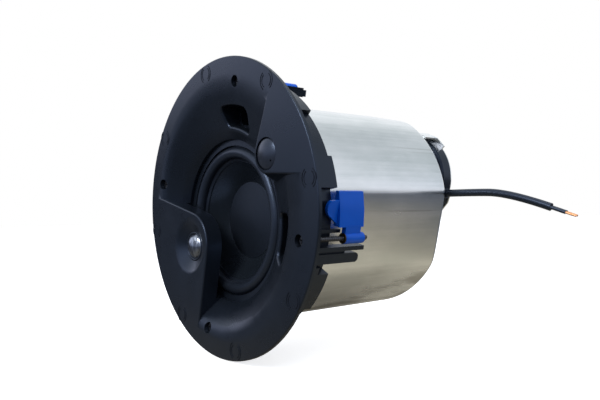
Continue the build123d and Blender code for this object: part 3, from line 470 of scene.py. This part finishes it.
def makeSuspension(name):
    bend = suspensions[name]
    axis = middle(bend["moves"])
    mesh = shade(welded(name), smooth["angle"])
    piece = newPiece(name + ".skin", mesh, finishes[nodeSlot[name]])
    # laid out by radius while the transform is baked, then put back where it was
    rest = [vert.co.copy() for vert in mesh.vertices]
    for vert in mesh.vertices:
        vert.co = (math.hypot(vert.co.x - axis.x, vert.co.z - axis.z), 0, 0)
    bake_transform(piece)
    for vert, where in zip(mesh.vertices, rest):
        vert.co = where
    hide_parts(name)


for name in suspensions:
    makeSuspension(name)
print("suspensions made,", len(suspensions))

# back can: the bent corners between its flats and its round parts, softened as drawn sheet is
can = {
    "radius": 88.5, "flat": 83.4, "play": 0.05,  # millimetres
    "first": -13.5, "step": 2.5,  # degrees
    "soft": 0.9, "hair": 1e-6,
}


def makeCan():
    work = opened(welded("back_can"))
    for k in range(int(180 / can["step"])):
        turn = math.radians(k * can["step"])
        across = (math.cos(turn), 0, math.sin(turn))
        everything = work.verts[:] + work.edges[:] + work.faces[:]
        bmesh.ops.bisect_plane(work, geom=everything, plane_co=(0, 0, 0), plane_no=across, dist=can["hair"])
    for vert in work.verts:
        turn = math.degrees(math.atan2(vert.co.z, vert.co.x)) - can["first"]
        away = math.radians((turn + 45) % 90 - 45)
        facet = can["flat"] / math.cos(away)
        hard = min(can["radius"], facet)
        if math.hypot(vert.co.x, vert.co.z) * 1000 < hard + can["play"]:
            lean = math.exp(-can["soft"] * (can["radius"] - hard)) + math.exp(-can["soft"] * (facet - hard))
            share = 1 - math.log(lean) / can["soft"] / hard
            vert.co.x *= share
            vert.co.z *= share
    standIn("back_can", shade(closed(work, bpy.data.meshes.new("back_can")), smooth["angle"]))


makeCan()
print("can made")

# clamp screws: the head of the solid, a plain neck and a rolled thread within the shank's radius
clampScrew = {
    "neck": 0.0035, "thread": 0.0105, "end": 0.0604, "shank": 0.0019,
    "core": 0.00152, "pitch": 0.002, "ridge": 0.0003,
    "coreSides": 28, "neckSides": 36, "ridgeSides": 6, "turnSteps": 28,
    "hair": 1e-5, "crease": 40,
}


def makeShank():
    s = clampScrew
    long, short = s["end"] - s["neck"], s["thread"] - s["neck"]
    run = s["shank"] - s["ridge"]
    threaded = s["end"] - s["thread"] - s["ridge"]
    r = Recipe("rolledThread", Length="Float", Turns="Float")
    core = {"Vertices": s["coreSides"], "Radius": s["core"], "Depth": long}
    core = r.add("GeometryNodeMeshCylinder", {}, core)
    core = r.add("GeometryNodeTransform", {}, {"Geometry": core, "Translation": (0, 0, long / 2)})
    neck = {"Vertices": s["neckSides"], "Radius": s["shank"], "Depth": short}
    neck = r.add("GeometryNodeMeshCylinder", {}, neck)
    neck = r.add("GeometryNodeTransform", {}, {"Geometry": neck, "Translation": (0, 0, short / 2)})
    coil = r.add("GeometryNodeCurveSpiral", {}, {
        "Resolution": s["turnSteps"], "Rotations": r.given["Turns"],
        "Start Radius": run, "End Radius": run, "Height": r.given["Length"],
    })
    coil = r.add("GeometryNodeSetCurveNormal", {"mode": "Z_UP"}, {"Curve": coil})
    ridge = {"Resolution": s["ridgeSides"], "Radius": s["ridge"]}
    ridge = r.add("GeometryNodeCurvePrimitiveCircle", {}, ridge)
    coil = r.add("GeometryNodeCurveToMesh", {}, {"Curve": coil, "Profile Curve": ridge, "Fill Caps": True})
    coil = r.add("GeometryNodeTransform", {}, {"Geometry": coil, "Translation": (0, 0, short)})
    whole = r.add("GeometryNodeJoinGeometry", {}, {"Geometry": [core, neck, coil]})
    turned = r.add("GeometryNodeTransform", {}, {"Geometry": whole, "Rotation": (-math.pi / 2, 0, 0)})
    return r.grow(turned, finishes["screw_steel"], Length=threaded, Turns=threaded / s["pitch"])


def makeClampScrews():
    shank = makeShank()
    seat = clampScrew["neck"] + clampScrew["hair"]
    for k in range(1, 5):
        name = f"clamp_screw_{k}"
        axis = middle(name)
        work = opened(welded(name))
        beyond = [face for face in work.faces if face.calc_center_median().y > seat]
        bmesh.ops.delete(work, geom=beyond, context="FACES")
        grown = shank.copy()
        grown.transform(Matrix.Translation((axis.x, clampScrew["neck"], axis.z)))
        work.from_mesh(grown)
        standIn(name, shade(closed(work, bpy.data.meshes.new(name)), clampScrew["crease"]))


makeClampScrews()
print("clamp screws made")

# faint double ring marks around the flange, each open above and below, coloured darker than the flange as
# painted shade along their ridges
witness = {
    "count": 8, "ring": 0.1098, "start": 9.5, "radii": (0.0071, 0.0052), "sweep": 112,
    "ridge": 0.00060, "ridgeSides": 6, "steps": 20, "front": -0.00270, "crease": 60,
    "dark": rgb(0.003, 0.004, 0.006), "light": rgb(0.005, 0.006, 0.009),
}


def makeWitnessMarks():
    w = witness
    sweep, start = math.radians(w["sweep"]), math.radians(w["start"])
    r = Recipe("witnessMarks", Count="Int", Ring="Float")
    spots = r.add("GeometryNodeMeshCircle", {}, {"Vertices": r.given["Count"], "Radius": r.given["Ring"]})
    spots = r.add("GeometryNodeTransform", {}, {"Geometry": spots, "Rotation": (0, 0, start)})
    ridge = {"Resolution": w["ridgeSides"], "Radius": w["ridge"]}
    ridge = r.add("GeometryNodeCurvePrimitiveCircle", {}, ridge)
    arcs = []
    for radius in w["radii"]:
        for side in (0, math.pi):
            arc = r.add("GeometryNodeCurveArc", {}, {
                "Resolution": w["steps"], "Radius": radius,
                "Start Angle": side - sweep / 2, "Sweep Angle": sweep,
            })
            bar = {"Curve": arc, "Profile Curve": ridge, "Fill Caps": True}
            arcs.append(r.add("GeometryNodeCurveToMesh", {}, bar))
    mark = r.add("GeometryNodeJoinGeometry", {}, {"Geometry": arcs})
    marks = r.add("GeometryNodeInstanceOnPoints", {}, {"Points": spots, "Instance": mark})
    upright = r.add("GeometryNodeTransform", {}, {
        "Geometry": marks, "Rotation": (math.pi / 2, 0, 0), "Translation": (0, w["front"], 0),
    })
    # darker than the flange plastic: painted shade along the ridges
    finish = makeMatte("markPaintedShade", w["dark"], w["light"], rough=0.5, grain=1500, depth=0.0001, gloss=0.25)
    mesh = r.grow(upright, finish, Count=w["count"], Ring=w["ring"])
    place("witnessMarks", shade(mesh, w["crease"]), finish, nodeBody["front_baffle"], slot="baffle_plastic")


makeWitnessMarks()
print("flange marks made")

# fine glue beads on the cone, round the cap and inside the roll
beads = {
    "capBead": {"radius": 0.0317, "depth": 0.0377, "thick": 0.00040},
    "edgeBead": {"radius": 0.0488, "depth": 0.0256, "thick": 0.00030},
}
beadSteps = {"round": 128, "section": 8, "crease": 80}


def makeBead(name):
    bead = beads[name]
    axis = middle("woofer_cone")
    r = Recipe(name, Radius="Float", Thick="Float")
    ring = {"Resolution": beadSteps["round"], "Radius": r.given["Radius"]}
    ring = r.add("GeometryNodeCurvePrimitiveCircle", {}, ring)
    section = {"Resolution": beadSteps["section"], "Radius": r.given["Thick"]}
    section = r.add("GeometryNodeCurvePrimitiveCircle", {}, section)
    laid = r.add("GeometryNodeCurveToMesh", {}, {"Curve": ring, "Profile Curve": section})
    upright = r.add("GeometryNodeTransform", {}, {
        "Geometry": laid, "Rotation": (math.pi / 2, 0, 0), "Translation": (axis.x, bead["depth"], axis.z),
    })
    mesh = r.grow(upright, finishes["cone_poly"], Radius=bead["radius"], Thick=bead["thick"])
    mesh = shade(mesh, beadSteps["crease"])
    place(name, mesh, finishes["cone_poly"], nodeBody["woofer_cone"], slot="cone_poly")


for name in beads:
    makeBead(name)
print("beads made,", len(beads))

# damping pad: a cut foam sheet whose edges are rounded over
pad = {"edge": 0.003, "steps": 4, "sharp": 40, "flat": 1, "crease": 50}


def makePad():
    work = opened(welded("damping_pad"))
    bmesh.ops.dissolve_limit(work, angle_limit=math.radians(pad["flat"]), verts=work.verts, edges=work.edges)
    edges = [edge for edge in work.edges if edge.calc_face_angle(0) > math.radians(pad["sharp"])]
    bmesh.ops.bevel(work, geom=edges, offset=pad["edge"], segments=pad["steps"], profile=0.5, affect="EDGES")
    bmesh.ops.triangulate(work, faces=work.faces)
    return standIn("damping_pad", shade(closed(work, bpy.data.meshes.new("damping_pad")), pad["crease"]))


makePad()
print("pad made")

# short flying lead: the route's own points, in metres
lead = {
    "points": [
        (0.064, 0.178, 0.0096), (0.101, 0.178, 0.0096),
        (0.138, 0.179, 0.0082), (0.172, 0.182, -0.0040),
    ],
    "radius": 0.0031, "order": 3, "steps": 24, "sides": 8,
}


def makeLead():
    curve = bpy.data.curves.new("supplyLead", "CURVE")
    curve.dimensions = "3D"
    spline = curve.splines.new("NURBS")
    spline.points.add(len(lead["points"]) - 1)
    for point, where in zip(spline.points, lead["points"]):
        point.co = (*where, 1)
    spline.order_u = lead["order"]
    spline.use_endpoint_u = True
    spline.resolution_u = lead["steps"]
    curve.bevel_depth = lead["radius"]
    curve.bevel_resolution = lead["sides"]
    curve.use_fill_caps = True
    return place("supplyLead", curve, finishes["surround_rubber"], nodeBody["supply_lead"], "supply_lead",
                 slot="surround_rubber")


supplyLead = makeLead()
print("lead made")

# camera at the photograph's place
view = {
    "place": (0.418492, -0.264627, -0.003038),
    "right": (0.63301743, 0.77389301, -0.01945636),
    "up": (0.02553094, 0.00424905, 0.999665),
    "back": (0.77371643, -0.63330211, -0.01706849),
    "lens": 37.637, "sensor": 36, "near": 0.01,
}


def makeCamera():
    data = bpy.data.cameras.new("photoCamera")
    data.lens = view["lens"]
    data.sensor_width = view["sensor"]
    data.clip_start = view["near"]
    camera = bpy.data.objects.new("photoCamera", data)
    scene.collection.objects.link(camera)
    turn = Matrix((view["right"], view["up"], view["back"])).transposed()
    camera.matrix_world = Matrix.Translation(view["place"]) @ turn.to_4x4()
    scene.camera = camera


makeCamera()

# floor, white to the camera and with the object's shadow; in reflections a warm colour with painted light,
# brightest round a middle near the can and fading to painted shade with distance
stageSet = {
    "floor": -0.1182, "reach": 6.0, "white": rgb(0.9, 0.9, 0.9), "lift": rgb(0.72, 0.72, 0.72),
    "middle": (0.10, 0.16, -0.1182), "sheen": rgb(0.015, 0.015, 0.015), "none": rgb(0, 0, 0),
    "paintedLightPool": [
        (0.0, (0.40, 0.355, 0.265)), (0.10, (0.44, 0.39, 0.29)), (0.18, (0.31, 0.27, 0.20)),
        (0.28, (0.18, 0.165, 0.138)), (0.45, (0.105, 0.108, 0.118)), (1.0, (0.085, 0.095, 0.115)),
    ],
}


def makeFloor():
    mesh = bpy.data.meshes.new("floor")
    r, z = stageSet["reach"], stageSet["floor"]
    mesh.from_pydata([(-r, -r, z), (r, -r, z), (r, r, z), (-r, r, z)], [], [(0, 1, 2, 3)])
    f = Finish("paleFloor")
    camera = f.add("LightPath", out="Is Camera Ray")
    mirror = (f.add("LightPath", out="Is Glossy Ray") + f.add("LightPath", out="Is Transmission Ray")).clip()
    away = f.add("VectorMath", {"operation": "DISTANCE"}, {0: f.spot(), 1: stageSet["middle"]}, "Value")
    # painted pool of light on the floor, seen only in reflections: lighter round the middle, darker further
    # out
    paintedLightPool = f.ramp(away, *stageSet["paintedLightPool"])
    glow = f.blend(mirror, stageSet["none"], stageSet["sheen"])
    f.set(Base_Color=f.blend(camera, paintedLightPool, stageSet["white"]), Roughness=0.95, Specular_IOR_Level=0.0)
    f.set(Emission_Color=f.blend(camera, glow, stageSet["lift"]), Emission_Strength=1.0)
    newPiece("floor", mesh, f.mat)


makeFloor()

# surroundings by height: straight ahead of the speaker, beside that, behind, far behind, behind to the left
sky = {
    "ahead": [
        (-1.0, (0.08, 0.075, 0.07)), (-0.30, (0.06, 0.06, 0.07)), (-0.06, (0.50, 0.58, 0.80)),
        (0.26, (0.95, 1.03, 1.27)), (0.45, (0.80, 0.86, 1.00)), (1.0, (0.60, 0.64, 0.70)),
    ],
    "front": [
        (-1.0, (0.07, 0.06, 0.06)), (-0.02, (0.02, 0.02, 0.025)), (0.10, (0.05, 0.06, 0.08)),
        (0.25, (1.25, 1.30, 1.60)), (0.45, (0.90, 0.96, 1.10)), (1.0, (0.60, 0.64, 0.70)),
    ],
    "back": [
        (-1.0, (0.22, 0.20, 0.17)), (-0.05, (0.13, 0.15, 0.18)), (-0.01, (0.84, 0.87, 0.94)),
        (0.50, (0.82, 0.86, 0.92)), (0.60, (0.68, 0.72, 0.77)), (0.70, (0.52, 0.565, 0.60)),
        (0.80, (0.57, 0.61, 0.64)), (1.0, (0.60, 0.64, 0.70)),
    ],
    "far": [
        (-1.0, (0.22, 0.20, 0.17)), (-0.05, (0.13, 0.15, 0.18)), (-0.01, (0.84, 0.87, 0.94)),
        (0.22, (0.66, 0.72, 0.80)), (0.45, (0.43, 0.49, 0.52)), (0.56, (0.42, 0.48, 0.50)),
        (0.62, (0.56, 0.61, 0.64)), (1.0, (0.60, 0.64, 0.70)),
    ],
    "left": [
        (-1.0, (0.22, 0.20, 0.17)), (-0.05, (0.60, 0.58, 0.55)), (-0.01, (0.95, 0.97, 1.0)),
        (0.78, (0.93, 0.97, 1.0)), (0.90, (0.66, 0.70, 0.74)), (1.0, (0.60, 0.64, 0.70)),
    ],
}
# where each gives way to the next: by depth, and for the left by the way across
skyTurns = {"ahead": (-0.50, -0.72), "rear": (-0.15, 0.50), "far": (0.68, 0.79), "left": (0.10, -0.35)}


def makeWorld():
    world = bpy.data.worlds.new("studio")
    scene.world = world
    f = Finish("studio", world)
    look = f.add("TexCoord", out="Generated")
    height = f.add("SeparateXYZ", {}, {"Vector": look}, "Z") * 0.5 + 0.5
    depth = f.add("SeparateXYZ", {}, {"Vector": look}, "Y")
    across = f.add("SeparateXYZ", {}, {"Vector": look}, "X")
    side = {name: f.ramp(height, *[(z * 0.5 + 0.5, c) for z, c in stops]) for name, stops in sky.items()}
    fore = f.blend(f.band(depth, *skyTurns["ahead"]), side["front"], side["ahead"])
    rear = f.blend(f.band(depth, *skyTurns["far"]), side["back"], side["far"])
    rear = f.blend(f.band(across, *skyTurns["left"]), rear, side["left"])
    camera = f.add("LightPath", out="Is Camera Ray")
    room = f.blend(camera, f.blend(f.band(depth, *skyTurns["rear"]), fore, rear), rgb(1, 1, 1))
    f.plug(room, f.tree.nodes["Background"].inputs["Color"])


makeWorld()

lamps = {
    "frontKey": {
        "place": (0.15, -1.08, 0.80), "target": (0, 0, 0),
        "size": 0.6, "power": 11.0, "colour": (0.97, 0.98, 1.0),
    },
    "overhead": {
        "place": (0.45, 0.15, 1.25), "target": (0, 0.08, 0),
        "size": 1.1, "power": 5.0, "colour": (1.0, 1.0, 1.0),
    },
}


def makeLamp(name):
    kind = lamps[name]
    data = bpy.data.lights.new(name, "AREA")
    data.shape = "DISK"
    data.size = kind["size"]
    data.energy = kind["power"]
    data.color = kind["colour"]
    lamp = bpy.data.objects.new(name, data)
    scene.collection.objects.link(lamp)
    aim = Vector(kind["target"]) - Vector(kind["place"])
    turn = aim.to_track_quat("-Z", "Y").to_matrix().to_4x4()
    lamp.matrix_world = Matrix.Translation(kind["place"]) @ turn


for name in lamps:
    makeLamp(name)
scene.view_settings.view_transform = "Standard"
print("camera, floor and lamps placed")
